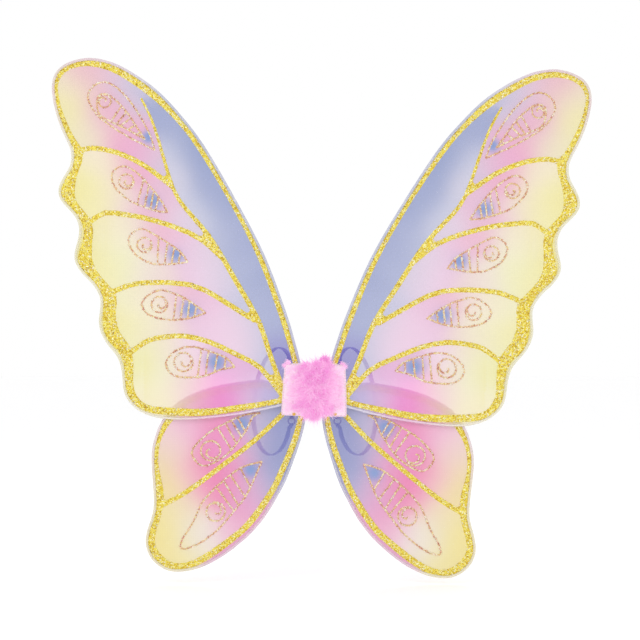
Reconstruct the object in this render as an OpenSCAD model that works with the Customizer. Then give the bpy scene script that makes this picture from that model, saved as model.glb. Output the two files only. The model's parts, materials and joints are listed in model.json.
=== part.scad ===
// Dress-up fairy wings: two upper and two lower wings of sheer cloth on bent wire loops,
// joined by a small padded, fluffy centre that carries two elastic arm loops.
// +Z is up, +X is to the right of someone who looks at the fluffy outer side, and that
// side faces -Y. The origin is the centre of the centre pad's back face.

/* [Overall] */
// Width across the tips of the two upper wings
wing_span = 545; // [525:5:575]
// Clockwise lean of the right-hand pair of wings, in degrees
right_lean = 2.8; // [0:0.2:3]

/* [Wing frames] */
// Diameter of the steel wire that outlines each wing
wire_d = 2.4; // [1.8:0.2:2.8]
// Thickness of the stretched cloth
skin_t = 0.4; // [0.2:0.1:0.6]
// Depth of the lower wings' plane behind the pad's back face
lower_plane = 4.6; // [4.6:0.2:5]
// Distance from the lower wings' plane forward to the upper wings' plane
plane_gap = 4; // [3.6:0.2:4.4]

/* [Glitter] */
// Thickness of the glitter layers on the cloth
glitter_t = 0.4; // [0.2:0.1:0.6]
// Width of the gold veins
vein_w = 5; // [4:0.5:6.5]
// Width of the thin rose-gold lines
rose_w = 1.5; // [1:0.1:2]

/* [Centre pad] */
// Width of the pad along its bottom edge
pad_w = 66; // [64:1:70]
// Width of the pad along its top edge
pad_top_w = 61; // [58:1:64]
// Height of the pad
pad_h = 52; // [50:1:54]
// Thickness of the pad without its fluff
pad_t = 15; // [15:0.5:18]
// Clockwise lean of the pad, in degrees
pad_lean = 1.3; // [0:0.1:2]
// How far the fluff stands out in front of the pad
fluff_t = 15; // [8:1:20]

/* [Arm loops] */
// Width of the flat elastic
strap_w = 7; // [5:1:9]
// Thickness of the flat elastic
strap_t = 1.2; // [0.8:0.1:1.6]
// Angle of each arm loop behind the plane of the wings, in degrees
strap_rest = 35; // [28:1:60]

/* [Hidden] */

// The wing outlines below are drawn for a 545 mm span, and grow or shrink with it
design_span = 545;
wing_k = wing_span / design_span;

// Depths of the two wing planes, measured along Y
lower_y = -lower_plane;
upper_y = -(lower_plane + plane_gap);

// Clearances
fit_gap = 0.1;
hinge_gap = 0.4;
stub_gap = 1.6;

// Curve resolution: longest step along an outline, and sides of a wire
curve_step = 12;
wire_sides = 8;

// Pad layers, from the back face forward
cover_t = 0.8;
felt_t = 0.9;
board_t = 1.4;
foam_t = 2.6;
board_front = cover_t + felt_t + board_t;
slot_h = wire_d + 0.6;
wall_inset = 3;

// Upper wing, left: centreline of the wire from the pad's top edge, out along the
// leading edge, down the scalloped outer edge and back along the bottom edge
upper_wire = wing_k * [
  [-12, 12], [-15.5, 28], [-22.5, 54], [-29.5, 77], [-51, 134], [-80, 190], [-111, 243],
  [-132, 271], [-156, 297], [-182, 316], [-204, 327], [-227, 331], [-248, 325.5],
  [-258.5, 316], [-261.5, 300], [-257, 276], [-249.5, 256], [-242, 239], [-243, 224],
  [-250, 212], [-254.5, 202], [-253.5, 192], [-246, 183], [-238, 174], [-234, 163],
  [-235, 150], [-238.5, 138], [-238, 128], [-231, 117], [-221, 107], [-213, 93],
  [-213, 80], [-214.5, 69], [-212, 57], [-205, 45], [-196, 34], [-191.5, 20],
  [-190, 2], [-186, -9], [-177, -18.5], [-166, -24], [-149, -28], [-125, -28.5],
  [-100, -26.5], [-76, -23.5], [-54, -19.5], [-36, -15.5], [-22, -12]
];

// Lower wing, left: centreline of the wire from the pad's bottom edge, down the inner
// edge, round the tail, up the outer edge and back behind the upper wing
lower_wire = wing_k * [
  [-8, -14], [-10, -28], [-14, -46], [-21, -67], [-30, -91], [-41, -111], [-51, -127],
  [-61, -139], [-71, -149], [-91, -164.5], [-110, -175], [-124, -179.5], [-138, -181],
  [-150, -178.5], [-162, -169], [-168, -155], [-166, -140], [-160, -121], [-160, -100],
  [-161.5, -80], [-161.5, -60], [-156, -40], [-149, -27], [-141, -17], [-128, -8],
  [-110, -0.5], [-90, 4.5], [-70, 7.5], [-53, 9], [-36, 4.5], [-22, 0]
];

// Gold border, upper: centreline points with the band's width as the third number
upper_border = [
  [-16, 14, 5.5], [-18.5, 26, 5.5], [-25, 50, 6], [-33, 76, 6], [-54, 133, 6],
  [-83, 190, 6], [-114, 242, 6.5], [-134, 269, 7], [-157, 292, 7.5], [-183, 311, 7],
  [-205, 323, 7], [-227, 327.5, 7], [-244, 324.5, 7], [-254.5, 317, 6.5], [-258.5, 308, 5.5],
  [-259, 298, 5], [-255, 280, 5], [-249, 264, 5.5], [-242, 249, 7], [-236, 236, 10],
  [-239, 221, 7], [-244, 210, 11], [-247, 199, 14.5], [-244, 188, 11.5], [-237, 180, 8],
  [-229, 170, 9], [-226, 159, 9.5], [-227, 149, 9.5], [-229, 137, 13], [-229, 128, 14.5],
  [-222, 116, 10.5], [-213, 106, 9.5], [-205, 92, 14], [-205, 80, 13], [-205, 68, 14],
  [-201, 54, 14.5], [-191, 42, 12.5], [-186, 28, 10], [-185.5, 10, 8], [-184, -2, 8.5],
  [-178, -12, 8], [-167, -18.5, 7], [-150, -21, 7.5], [-125, -22.5, 7.5],
  [-100, -21.5, 7], [-76, -18, 6.5], [-54, -14.5, 5.5], [-36, -11, 5.5], [-24, -8, 5.5]
];

// Gold border, lower
lower_border = [
  [-11, -16, 6], [-13.5, -28, 6], [-18, -45, 6], [-25.5, -65, 6], [-34, -84, 6],
  [-40, -97, 6], [-50, -113, 6.5], [-60, -127, 6.5], [-70, -138.5, 6.5],
  [-80, -147, 6.5], [-100, -162, 7], [-120, -173.5, 6.5], [-135, -177, 6.5],
  [-146, -175.5, 8], [-156, -169.5, 10], [-163, -159, 9], [-164, -148, 8],
  [-160.5, -136, 7], [-157, -124, 7.5], [-155.5, -112, 9], [-156, -99, 9],
  [-158.5, -82, 6.5], [-159.5, -68, 6], [-157.5, -52, 6], [-151.5, -38, 6.5],
  [-144, -28, 6.5], [-137, -19, 6.5], [-124, -9.5, 6.5], [-105, -3.5, 6.5],
  [-88, 0.5, 6.5], [-70, 3.5, 6.5], [-53, 5, 6], [-36, 0.5, 6], [-24, -4, 6]
];

// Gold veins, upper: the spine first, then the three veins that branch from it and
// the one that leaves from the pad
upper_veins = [
  [[-173, 291], [-164, 273], [-156, 250], [-148, 222], [-136, 191], [-105, 153],
   [-78, 108], [-56, 69], [-44, 34], [-34, 8], [-27, -2]],
  [[-233, 240], [-222, 242], [-205, 239.5], [-190, 234.5], [-170, 224.5], [-143, 204]],
  [[-226, 167], [-210, 177], [-190, 175.5], [-170, 172], [-140, 163], [-114, 151],
   [-91, 131]],
  [[-207, 96], [-195, 101], [-180, 106], [-160, 107.5], [-135, 106.5], [-110, 100],
   [-61, 70]],
  [[-188, 34], [-178, 42], [-165, 50], [-150, 53], [-130, 54], [-105, 48], [-75, 34],
   [-54, 22], [-34, -3], [-27, -10]]
];

// Gold vein, lower
lower_veins = [
  [[-24, -16], [-42, -34], [-60, -50.5], [-90, -74], [-120, -96.5], [-138, -108],
   [-154, -116]]
];

// Width of the spine where it starts, near the wing's tip
spine_tip_w = 2;

// Rose-gold teardrops. Each has its outline from the tip over the upper side and round
// the blunt end to the lower side, the crossbars as pairs of points, and the centre,
// radius and starting angle of its spiral
upper_drops = [
  [[[-160, 240], [-165, 256], [-181, 284], [-197, 302], [-210, 308], [-221, 304],
    [-227, 293], [-219, 277], [-205, 265], [-184, 252]],
   [], [-210, 289], 0, 0],
  [[[-170, 251], [-176, 260], [-187, 277], [-199, 290], [-208, 296], [-217, 293],
    [-216, 277], [-207, 270], [-190, 262]],
   [[[-174, 258], [-177, 256]], [[-179, 265], [-187, 260]], [[-184, 272], [-194, 264]],
    [[-188, 278], [-198, 266]], [[-193, 284], [-203, 269]]],
   [-210, 289], 6.5, 200],
  [[[-147, 178], [-156, 193], [-170, 210], [-180, 219], [-191, 224], [-200, 220],
    [-203, 212], [-199, 202], [-186, 190], [-170, 183], [-158, 179]],
   [[[-156, 192], [-159, 180]], [[-161, 198], [-164, 181]], [[-166, 203], [-170, 183]],
    [[-171, 210], [-177, 187]]],
   [-188, 208.5], 7.5, 0],
  [[[-127, 128], [-134, 138], [-148, 148], [-161, 156], [-171, 161], [-180, 159],
    [-186, 151], [-182, 139], [-173, 131], [-160, 126], [-142, 126]],
   [[[-134, 137], [-136, 127]], [[-140, 143], [-143, 127]], [[-147, 147], [-150, 126]],
    [[-156, 152], [-157, 127]]],
   [-170, 145], 7.5, 0],
  [[[-109, 77], [-118, 84], [-130, 92], [-142, 97], [-154, 100], [-166, 95],
    [-173, 86], [-167, 76], [-155, 71.5], [-141, 70], [-124, 72]],
   [[[-118, 84], [-120, 73]], [[-125, 88], [-127, 72]], [[-131, 92], [-134, 71]],
    [[-138, 96], [-141, 70]]],
   [-155, 85.5], 8, 30],
  [[[-80, 23], [-88, 32], [-103, 38], [-115, 42], [-128, 43], [-142, 37],
    [-149, 26], [-142, 15], [-128, 12.5], [-110, 14], [-95, 20]],
   [[[-89, 32], [-90, 21]], [[-97, 35], [-100, 18]], [[-106, 39], [-109, 14]],
    [[-113, 41], [-117, 13]]],
   [-131, 28], 9.5, 30]
];
lower_drops = [
  [[[-55, -23], [-70, -25], [-86, -32], [-103, -41], [-117, -53], [-123, -64],
    [-113, -76], [-97, -71], [-83, -60], [-74, -48], [-68, -40], [-62, -27]],
   [[[-77, -28], [-69, -42]], [[-83, -31], [-73, -47]], [[-89, -34], [-78, -54]],
    [[-97, -38], [-83, -60]]],
   [-104, -61], 10, -40],
  [[[-53, -72], [-66, -75], [-77, -80], [-95, -94], [-112, -112], [-122, -133],
    [-133, -151], [-133, -159], [-118, -155], [-98, -141], [-82, -123], [-68, -105],
    [-59, -86]],
   [[[-74, -79], [-64, -98]], [[-84, -86], [-70, -106]], [[-91, -91], [-76, -116]],
    [[-98, -98], [-81, -121]]],
   [-99, -122], 9.5, 100]
];

// Fold lines, left: where the wing wires bend when the wings fold
upper_fold = [[-39, -14], [-28.5, 60]];
lower_fold = [[-22, -58], [-54, 8]];

// Arm loop: outline points, distance outward from the swing axis and height
strap_x = 25;
strap_y = -0.4;
loop_pts = [
  [0, 27.2], [1, 34], [8, 41], [18, 41], [30, 30], [39, 12], [44, -10], [45, -34],
  [38, -56], [26, -66], [13, -62], [4, -50], [0, -36.3]
];

// Brass studs, rings and tabs at the pad's bottom edge
stud_x = 20.5;
stud_z = -23.8;
stud_r = 1.6;
ring_x = 23;
ring_z = -31.4;
ring_r = 3.4;
ring_wire = 1.2;
ring_fit = 0.2;

// ---- Curves ----

// Point at t (0 to 1) between b and c on the smooth curve through a, b, c and d
function curve_pt(a, b, c, d, t) =
  0.5 * (2 * b + (c - a) * t + (2 * a - 5 * b + 4 * c - d) * t * t
         + (3 * b - a - 3 * c + d) * t * t * t);

// Smooth curve through the points p, in steps no longer than step
function smooth(p, step = curve_step) = [
  for (i = [0 : len(p) - 2])
    let (a = i == 0 ? 2 * p[0] - p[1] : p[i - 1],
         d = i + 2 < len(p) ? p[i + 2] : 2 * p[i + 1] - p[i],
         n = max(2, round(norm(p[i + 1] - p[i]) / step)))
      for (k = [0 : n - 1]) curve_pt(a, p[i], p[i + 1], d, k / n),
  p[len(p) - 1]
];

function flat(p) = [p[0], p[1]];
function unit(v) = v / norm(v);
function square_to(v) = [-v[1], v[0]];

// Direction of travel at point i of the path p
function heading(p, i) =
  unit(flat(p[min(i + 1, len(p) - 1)]) - flat(p[max(i - 1, 0)]));

// Distance of point p outboard of the fold line
function outboard(p, fold) =
  let (along = unit(fold[1] - fold[0])) square_to(along) * (flat(p) - fold[0]);

// Point between p and q that lies at distance g outboard of the fold line
function at_fold(p, q, fold, g) =
  let (a = outboard(p, fold), b = outboard(q, fold)) p + (q - p) * (g - a) / (b - a);

// Indices where the path crosses the line at distance g from the fold line
function crossings(p, fold, g) = [
  for (i = [1 : len(p) - 1])
    if ((outboard(p[i - 1], fold) - g) * (outboard(p[i], fold) - g) < 0) i
];

// The part of a loop that lies outboard of the fold line
function wing_part(p, fold) =
  let (c = crossings(p, fold, 0), a = c[0], b = c[len(c) - 1])
    concat([at_fold(p[a - 1], p[a], fold, 0)], [for (i = [a : b - 1]) p[i]],
           [at_fold(p[b - 1], p[b], fold, 0)]);

// The two ends of a loop that stay with the pad
function first_stub(p, fold) =
  let (a = crossings(p, fold, -stub_gap)[0])
    concat([for (i = [0 : a - 1]) p[i]], [at_fold(p[a - 1], p[a], fold, -stub_gap)]);
function last_stub(p, fold) =
  let (c = crossings(p, fold, -stub_gap), b = c[len(c) - 1])
    concat([at_fold(p[b - 1], p[b], fold, -stub_gap)], [for (i = [b : len(p) - 1]) p[i]]);

upper_path = smooth(upper_wire);
lower_path = smooth(lower_wire);

// ---- Placing ----

// A flat drawing in X and Z, made solid from depth y forward by thickness t
module sheet_at(y, t)
  translate([0, y, 0]) rotate([90, 0, 0]) linear_extrude(t) children();

// The right-hand side: a mirror image that leans clockwise
module right_side() rotate([0, right_lean, 0]) mirror([1, 0, 0]) children();

// The same shape on the left and on the right of the pad
module both_sides() {
  children();
  mirror([1, 0, 0]) children();
}

// A round wire along the flat path p, as one swept solid
module wire(p, y) {
  n = len(p);
  rings = [
    for (i = [0 : n - 1], s = [0 : wire_sides - 1])
      let (side = square_to(heading(p, i)), a = 360 * (s + 0.5) / wire_sides)
        [p[i][0] + side[0] * cos(a) * wire_d / 2,
         p[i][1] + side[1] * cos(a) * wire_d / 2,
         sin(a) * wire_d / 2]
  ];
  sides = [
    for (i = [0 : n - 2], s = [0 : wire_sides - 1])
      let (a = i * wire_sides + s, b = i * wire_sides + (s + 1) % wire_sides)
        [a, a + wire_sides, b + wire_sides, b]
  ];
  start = [[for (s = [0 : wire_sides - 1]) s]];
  end = [[for (s = [wire_sides - 1 : -1 : 0]) (n - 1) * wire_sides + s]];
  translate([0, y, 0]) rotate([90, 0, 0])
    polyhedron(points = rings, faces = concat(sides, start, end), convexity = 6);
}

// Half of the plane, outboard of the fold line by g or more
module outboard_half(fold, g) {
  reach = 700;
  along = unit(fold[1] - fold[0]);
  out = square_to(along);
  corner = fold[0] + out * g;
  polygon([corner - along * reach, corner + along * reach,
           corner + along * reach + out * reach, corner - along * reach + out * reach]);
}

// Half of the plane, inboard of the fold line by stub_gap or more, clear of the pad's core
module inboard_part(fold) {
  difference() {
    square(200, center = true);
    outboard_half(fold, -stub_gap);
    pad_outline(-wall_inset);
  }
}

// ---- Flat drawings ----

// A line through the points p, each with its width as third number, round at both ends
module band(p) {
  last = len(p) - 1;
  side = [for (i = [0 : last]) square_to(heading(p, i)) * p[i][2] / 2];
  for (i = [0 : last - 1])
    polygon([flat(p[i]) + side[i], flat(p[i + 1]) + side[i + 1],
             flat(p[i + 1]) - side[i + 1], flat(p[i]) - side[i]]);
  for (e = [p[0], p[last]]) translate(flat(e)) circle(d = e[2], $fn = 16);
}

// A line of one width, or one that widens from w0 at its start to w
module line(p, w, w0 = undef) {
  n = len(p) - 1;
  from = is_undef(w0) ? w : w0;
  band([for (i = [0 : n]) [p[i][0], p[i][1], i < n / 2 ? from + (w - from) * 2 * i / n : w]]);
}

module wing_cloth(path) offset(delta = -(wire_d / 2 + fit_gap)) polygon(path);

module gold_drawing(border, veins, fillet = 2.5) {
  offset(r = -fillet, $fn = 24) offset(r = fillet, $fn = 24) {
    band(smooth(wing_k * border));
    for (i = [0 : len(veins) - 1])
      line(smooth(wing_k * veins[i]), vein_w, i == 0 && len(veins) > 1 ? spine_tip_w : vein_w);
  }
}

// A full turn of radius r from the angle start, then an inward curl to the centre
function spiral(centre, r, start) = [
  for (i = [0 : 22])
    let (f = i / 22, a = start - 560 * f, curl = max(0, (f - 0.6) / 0.4))
      centre + r * (1 - 0.85 * curl) * [cos(a), sin(a)]
];

// One teardrop with its crossbars and spiral
module drop(outline, bars, centre, r, start) {
  line(smooth(concat(outline, [outline[0]]), 6), rose_w);
  for (b = bars) line(b, rose_w);
  if (r > 0) line(spiral(centre, r, start), rose_w);
}

module rose_drawing(drops) {
  merge = 0.2;
  offset(delta = -merge) offset(delta = merge)
    for (d = drops)
      drop(wing_k * d[0], wing_k * d[1], wing_k * d[2], wing_k * d[3], d[4]);
}

// Outline of the pad, grown by g
module pad_outline(g = 0) {
  rotate(-pad_lean)
    polygon([[-pad_w / 2 - g, -pad_h / 2 - g], [pad_w / 2 + g, -pad_h / 2 - g],
             [pad_top_w / 2 + g, pad_h / 2 + g], [-pad_top_w / 2 - g, pad_h / 2 + g]]);
}

// ---- Pad pieces ----

module back_cover() color("#f6d3e8") sheet_at(0, cover_t) pad_outline();

module back_felt() color("#f3e6ee") sheet_at(-cover_t, felt_t) pad_outline(-1.5);

module core_board() color("#d8cdbb") sheet_at(-cover_t - felt_t, board_t) pad_outline(-2);

// One staple over a wire at (x, z), turned by angle, whose wire runs at depth y
module staple(x, z, angle, y) {
  leg = 0.9;
  hole = wire_d + 4 * fit_gap;
  front = -y + hole / 2 + leg;
  translate([x, 0, z]) rotate([0, -angle, 0]) difference() {
    translate([-1, -front, -hole / 2 - leg]) cube([2, front - board_front, hole + 2 * leg]);
    translate([-2, -front + leg, -hole / 2]) cube([4, front, hole]);
  }
}

// Two staples over each loop's two ends
module wing_staples() {
  staple(-13.2, 18, 104, upper_y);
  staple(-26, -13.2, 15, upper_y);
  staple(-8.7, -19, 98, lower_y);
  staple(-27, 1.8, -18, lower_y);
}

module wire_staples() color("silver") {
  wing_staples();
  right_side() wing_staples();
}

module front_foam() color("#f7f2f4")
  sheet_at(-(pad_t - cover_t - foam_t), foam_t) pad_outline(-1.6);

// Openings in the cover's edge where the left-hand wings come out
module wing_slots() {
  reach = 60;
  translate([-reach, upper_y - slot_h / 2, -20]) cube([reach - 10, slot_h, reach]);
  translate([-reach, lower_y - slot_h / 2, 8 - reach]) cube([reach - 6, slot_h, reach]);
}

module front_cover() color("#f6d3e8") difference() {
  sheet_at(-board_front - fit_gap, pad_t - board_front - fit_gap) pad_outline();
  sheet_at(-board_front + 1, pad_t - board_front - cover_t + 1) pad_outline(-1.4);
  wing_slots();
  mirror([1, 0, 0]) wing_slots();
  for (x = [-stud_x, stud_x])
    translate([x, -pad_t + 2, stud_z]) rotate([90, 0, 0])
      cylinder(r = stud_r / 2, h = 4, $fn = 24);
}

// Running stitches along the top and bottom hems of the front cover, clear of the studs
module cover_stitches() color("#f2b9dc") {
  stitches = 14;
  pitch = (pad_top_w - 8) / stitches;
  inset = pad_h / 2 - 1.2;
  rotate([0, pad_lean, 0])
    for (i = [0 : stitches - 1], z = [-inset, inset]) {
      x = (i - (stitches - 1) / 2) * pitch;
      if (z > 0 || abs(abs(x) - stud_x) > pitch / 2) translate([x, -pad_t, z]) stitch(pitch * 0.6);
    }
}

// One stitch of the given length along X, half round, on the cover's front
module stitch(length) {
  thread = 0.5;
  translate([-length / 2, 0, 0]) rotate([0, 90, 0]) intersection() {
    cylinder(d = thread, h = length, $fn = 16);
    translate([-1, -1, 0]) cube([2, 1, length]);
  }
}

// Tuft of fluff over the front of the pad: widest at its foot, rounded in front
module fluff_patch() color("#f8b5ea") {
  foot = 2;
  foot_y = -pad_t - 0.4;
  puff = 6.5;
  hull() {
    for (p = [[-21, -13.5], [21, -13.5], [-22, 22], [22, 22], [0, -26], [6, 28]])
      translate([p[0], foot_y, p[1]]) rotate([90, 0, 0]) cylinder(r = 6, h = foot, $fn = 32);
    for (x = [-12, 12], z = [-12, 14])
      translate([x, -pad_t - fluff_t + puff, z]) sphere(r = puff, $fn = 32);
  }
}

// Brass stud: head in front of the cover and shank through it
module stud(x) {
  shank_r = stud_r / 2 - fit_gap;
  translate([x, -pad_t, stud_z]) rotate([90, 0, 0]) cylinder(r = stud_r, h = 0.7, $fn = 32);
  translate([x, -pad_t + cover_t, stud_z]) rotate([90, 0, 0])
    cylinder(r = shank_r, h = cover_t, $fn = 24);
}

module ring_studs() color("#d9a72e") {
  stud(-stud_x);
  stud(stud_x);
}

// Cloth tab that hangs below the pad's back and folds round the ring
module ring_tab() {
  tab_w = 3.6;
  tab_t = 0.6;
  top = -pad_h / 2 + 0.8;
  fold_z = ring_z + ring_r;
  translate([-ring_x - tab_w / 2, -cover_t - tab_t, fold_z]) cube([tab_w, tab_t, top - fold_z]);
  translate([-ring_x - tab_w / 2, strap_y, fold_z]) rotate([0, 90, 0])
    cylinder(r = ring_wire / 2 + ring_fit + tab_t, h = tab_w, $fn = 24);
}

module ring_tabs() color("#eab0d8") difference() {
  both_sides() ring_tab();
  both_sides() ring(-ring_x, ring_fit);
}

module ring(x, grow = 0)
  translate([x, strap_y, ring_z]) rotate([90, 0, 0])
    rotate_extrude($fn = 48) translate([ring_r, 0]) circle(d = ring_wire + 2 * grow, $fn = 24);

module strap_rings() color("#e59ad0") {
  ring(-ring_x);
  ring(ring_x);
}

// Stitched ends of the elastic in the pad's top seam
module strap_anchor()
  translate([-strap_x - strap_w / 2, -board_front - 1.4, pad_h / 2 - 8])
    cube([strap_w, strap_t, 6]);

module strap_anchors() color("#f08fd0") both_sides() strap_anchor();

// ---- Wings ----

steel = "#b9bcc4";
gold = "#e6c840";
rose = "#d9a58f";

module upper_root_wires() color(steel) {
  wire(first_stub(upper_path, upper_fold), upper_y);
  wire(last_stub(upper_path, upper_fold), upper_y);
}
module lower_root_wires() color(steel) {
  wire(first_stub(lower_path, lower_fold), lower_y);
  wire(last_stub(lower_path, lower_fold), lower_y);
}
module upper_wire_frame() color(steel) wire(wing_part(upper_path, upper_fold), upper_y);
module lower_wire_frame() color(steel) wire(wing_part(lower_path, lower_fold), lower_y);

module skin_root(path, fold, y) sheet_at(y + skin_t / 2, skin_t) intersection() {
  wing_cloth(path);
  inboard_part(fold);
}
module skin_wing(path, fold, y) sheet_at(y + skin_t / 2, skin_t) intersection() {
  wing_cloth(path);
  outboard_half(fold, hinge_gap);
}
module upper_root_skin() color("#a9b2da") skin_root(upper_path, upper_fold, upper_y);
module lower_root_skin() color("#9aa0d0") skin_root(lower_path, lower_fold, lower_y);
module upper_skin() color("#f3bfdd") skin_wing(upper_path, upper_fold, upper_y);
module lower_skin() color("#f48ccb") skin_wing(lower_path, lower_fold, lower_y);

module gold_root(border, veins, path, fold, y) color(gold)
  sheet_at(y - skin_t / 2, glitter_t) intersection() {
    gold_drawing(border, veins);
    wing_cloth(path);
    inboard_part(fold);
  }
module gold_wing(border, veins, path, fold, y) color(gold)
  sheet_at(y - skin_t / 2, glitter_t) intersection() {
    gold_drawing(border, veins);
    wing_cloth(path);
    outboard_half(fold, hinge_gap);
  }
module upper_root_gold() gold_root(upper_border, upper_veins, upper_path, upper_fold, upper_y);
module lower_root_gold() gold_root(lower_border, lower_veins, lower_path, lower_fold, lower_y);
module upper_gold() gold_wing(upper_border, upper_veins, upper_path, upper_fold, upper_y);
module lower_gold() gold_wing(lower_border, lower_veins, lower_path, lower_fold, lower_y);

module upper_rose() color(rose) sheet_at(upper_y - skin_t / 2, glitter_t) rose_drawing(upper_drops);
module lower_rose() color(rose) sheet_at(lower_y - skin_t / 2, glitter_t) rose_drawing(lower_drops);

// ---- Arm loops ----

module arm_loop() color("#f08fd0")
  translate([-strap_x, strap_y, 0]) rotate([0, 0, -strap_rest]) mirror([1, 0, 0])
    rotate([90, 0, 0]) translate([0, 0, -strap_w / 2]) linear_extrude(strap_w)
      offset(delta = -0.1) offset(delta = 0.1) line(smooth(loop_pts, 5), strap_t);

back_cover();
back_felt();
core_board();
wire_staples();
front_foam();
front_cover();
cover_stitches();
fluff_patch();
ring_studs();
ring_tabs();
strap_rings();
strap_anchors();
upper_root_wires();  // left_upper_root_wires
lower_root_wires();  // left_lower_root_wires
right_side() upper_root_wires();  // right_upper_root_wires
right_side() lower_root_wires();  // right_lower_root_wires
upper_root_skin();  // left_upper_root_skin
lower_root_skin();  // left_lower_root_skin
right_side() upper_root_skin();  // right_upper_root_skin
right_side() lower_root_skin();  // right_lower_root_skin
upper_root_gold();  // left_upper_root_gold
lower_root_gold();  // left_lower_root_gold
right_side() upper_root_gold();  // right_upper_root_gold
right_side() lower_root_gold();  // right_lower_root_gold
upper_wire_frame();  // left_upper_wire_frame
upper_skin();  // left_upper_skin
upper_gold();  // left_upper_gold_glitter
upper_rose();  // left_upper_rose_glitter
lower_wire_frame();  // left_lower_wire_frame
lower_skin();  // left_lower_skin
lower_gold();  // left_lower_gold_glitter
lower_rose();  // left_lower_rose_glitter
right_side() upper_wire_frame();  // right_upper_wire_frame
right_side() upper_skin();  // right_upper_skin
right_side() upper_gold();  // right_upper_gold_glitter
right_side() upper_rose();  // right_upper_rose_glitter
right_side() lower_wire_frame();  // right_lower_wire_frame
right_side() lower_skin();  // right_lower_skin
right_side() lower_gold();  // right_lower_gold_glitter
right_side() lower_rose();  // right_lower_rose_glitter
arm_loop();  // left_arm_loop
mirror([1, 0, 0]) arm_loop();  // right_arm_loop
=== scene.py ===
import json
import math
import random

import bmesh
import bpy
import numpy as np
from mathutils import Matrix, Vector, noise
from mathutils.bvhtree import BVHTree
from mathutils.geometry import delaunay_2d_cdt
from mathutils.kdtree import KDTree


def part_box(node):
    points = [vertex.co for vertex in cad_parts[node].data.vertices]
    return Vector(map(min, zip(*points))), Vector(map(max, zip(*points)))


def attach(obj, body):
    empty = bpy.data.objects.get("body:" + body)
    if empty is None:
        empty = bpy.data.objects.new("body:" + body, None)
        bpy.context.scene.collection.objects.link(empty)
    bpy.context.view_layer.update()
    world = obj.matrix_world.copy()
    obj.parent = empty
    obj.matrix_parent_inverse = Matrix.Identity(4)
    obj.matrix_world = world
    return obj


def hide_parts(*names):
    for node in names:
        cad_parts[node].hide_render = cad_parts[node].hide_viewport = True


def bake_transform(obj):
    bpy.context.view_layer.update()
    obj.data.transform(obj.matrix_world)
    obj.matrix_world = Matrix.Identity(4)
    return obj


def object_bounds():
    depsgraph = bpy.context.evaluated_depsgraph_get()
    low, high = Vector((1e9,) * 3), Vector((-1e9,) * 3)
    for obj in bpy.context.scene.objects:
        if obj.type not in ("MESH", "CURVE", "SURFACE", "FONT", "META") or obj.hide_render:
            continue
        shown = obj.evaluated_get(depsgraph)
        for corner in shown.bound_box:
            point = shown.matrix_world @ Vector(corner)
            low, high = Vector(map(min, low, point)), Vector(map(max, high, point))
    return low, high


# Dress-up fairy wings: sheer cloth on wire loops, glitter drawing, padded fluffy centre, arm loops.
# Everything is in metres in the CAD frame: +Z up, the fluffy outer side faces -Y.

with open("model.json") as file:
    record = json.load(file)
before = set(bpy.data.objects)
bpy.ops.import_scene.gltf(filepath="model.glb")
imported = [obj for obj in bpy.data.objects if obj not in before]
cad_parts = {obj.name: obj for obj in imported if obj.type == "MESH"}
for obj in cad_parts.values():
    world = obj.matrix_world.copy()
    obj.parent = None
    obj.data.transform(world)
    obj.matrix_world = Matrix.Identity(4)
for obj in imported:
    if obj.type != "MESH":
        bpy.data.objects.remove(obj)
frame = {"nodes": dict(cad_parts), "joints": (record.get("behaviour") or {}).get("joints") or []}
cad_low, cad_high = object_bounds()
MM = 0.001
SIDES = ("left", "right")
WINGS = ("upper", "lower")

# ---- Places from the frame ----

joints = {j["name"]: j for j in frame["joints"]}


def node_points(node):
    """A CAD node's vertices."""
    return np.array([v.co for v in frame["nodes"][node].data.vertices])


PAD_LOW, PAD_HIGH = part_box("back_cover")
FRONT_LOW, FRONT_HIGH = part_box("front_cover")
PAD_FRONT = FRONT_LOW[1]


def unit(v):
    return v / np.linalg.norm(v)


def fold_of(side, wing):
    """The fold line in the XZ plane: a point on it, its direction and the outboard direction."""
    j = joints[f"{side}_{wing}_fold"]
    point = np.array([j["pos_m"][0], j["pos_m"][2]])
    along = unit(np.array([j["axis"][0], j["axis"][2]]))
    across = np.array([-along[1], along[0]])
    if across[0] * (-1 if side == "left" else 1) < 0:
        across = -across
    return point, along, across


def lean_angle():
    """How far the right pair leans from the left pair's mirror image."""
    _, left, _ = fold_of("left", "upper")
    _, right, _ = fold_of("right", "upper")
    left_turn = math.atan2(-left[0], left[1])
    right = right * math.copysign(1, right[1])
    return math.atan2(right[0], right[1]) - left_turn


RIGHT_LEAN = lean_angle()


def to_left(points, side):
    """Right-hand points (x, z) brought to the same place on the left-hand wing."""
    if side == "left":
        return points
    c, s = math.cos(RIGHT_LEAN), math.sin(RIGHT_LEAN)
    x = points[:, 0] * c - points[:, 1] * s
    z = points[:, 0] * s + points[:, 1] * c
    return np.stack([-x, z], axis=1)


def from_left(x, z, side):
    """A place on the left-hand wing, taken to the same place on this side's wing."""
    if side == "left":
        return np.array([x, z])
    c, s = math.cos(RIGHT_LEAN), math.sin(RIGHT_LEAN)
    return np.array([-x * c + z * s, x * s + z * c])


# ---- Flat outlines ----

def outline(node):
    """The edges of a flat node's front face, as an array of pairs of points (x, z)."""
    co = node_points(node)
    front = co[:, 1].min() + 0.02 * MM
    uses = {}
    for face in frame["nodes"][node].data.polygons:
        if co[list(face.vertices), 1].max() > front:
            continue
        ring = [tuple(np.round(co[v, [0, 2]], 7)) for v in face.vertices]
        for a, b in zip(ring, ring[1:] + ring[:1]):
            uses[(min(a, b), max(a, b))] = uses.get((min(a, b), max(a, b)), 0) + 1
    return np.array([e for e, n in uses.items() if n == 1])


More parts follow.
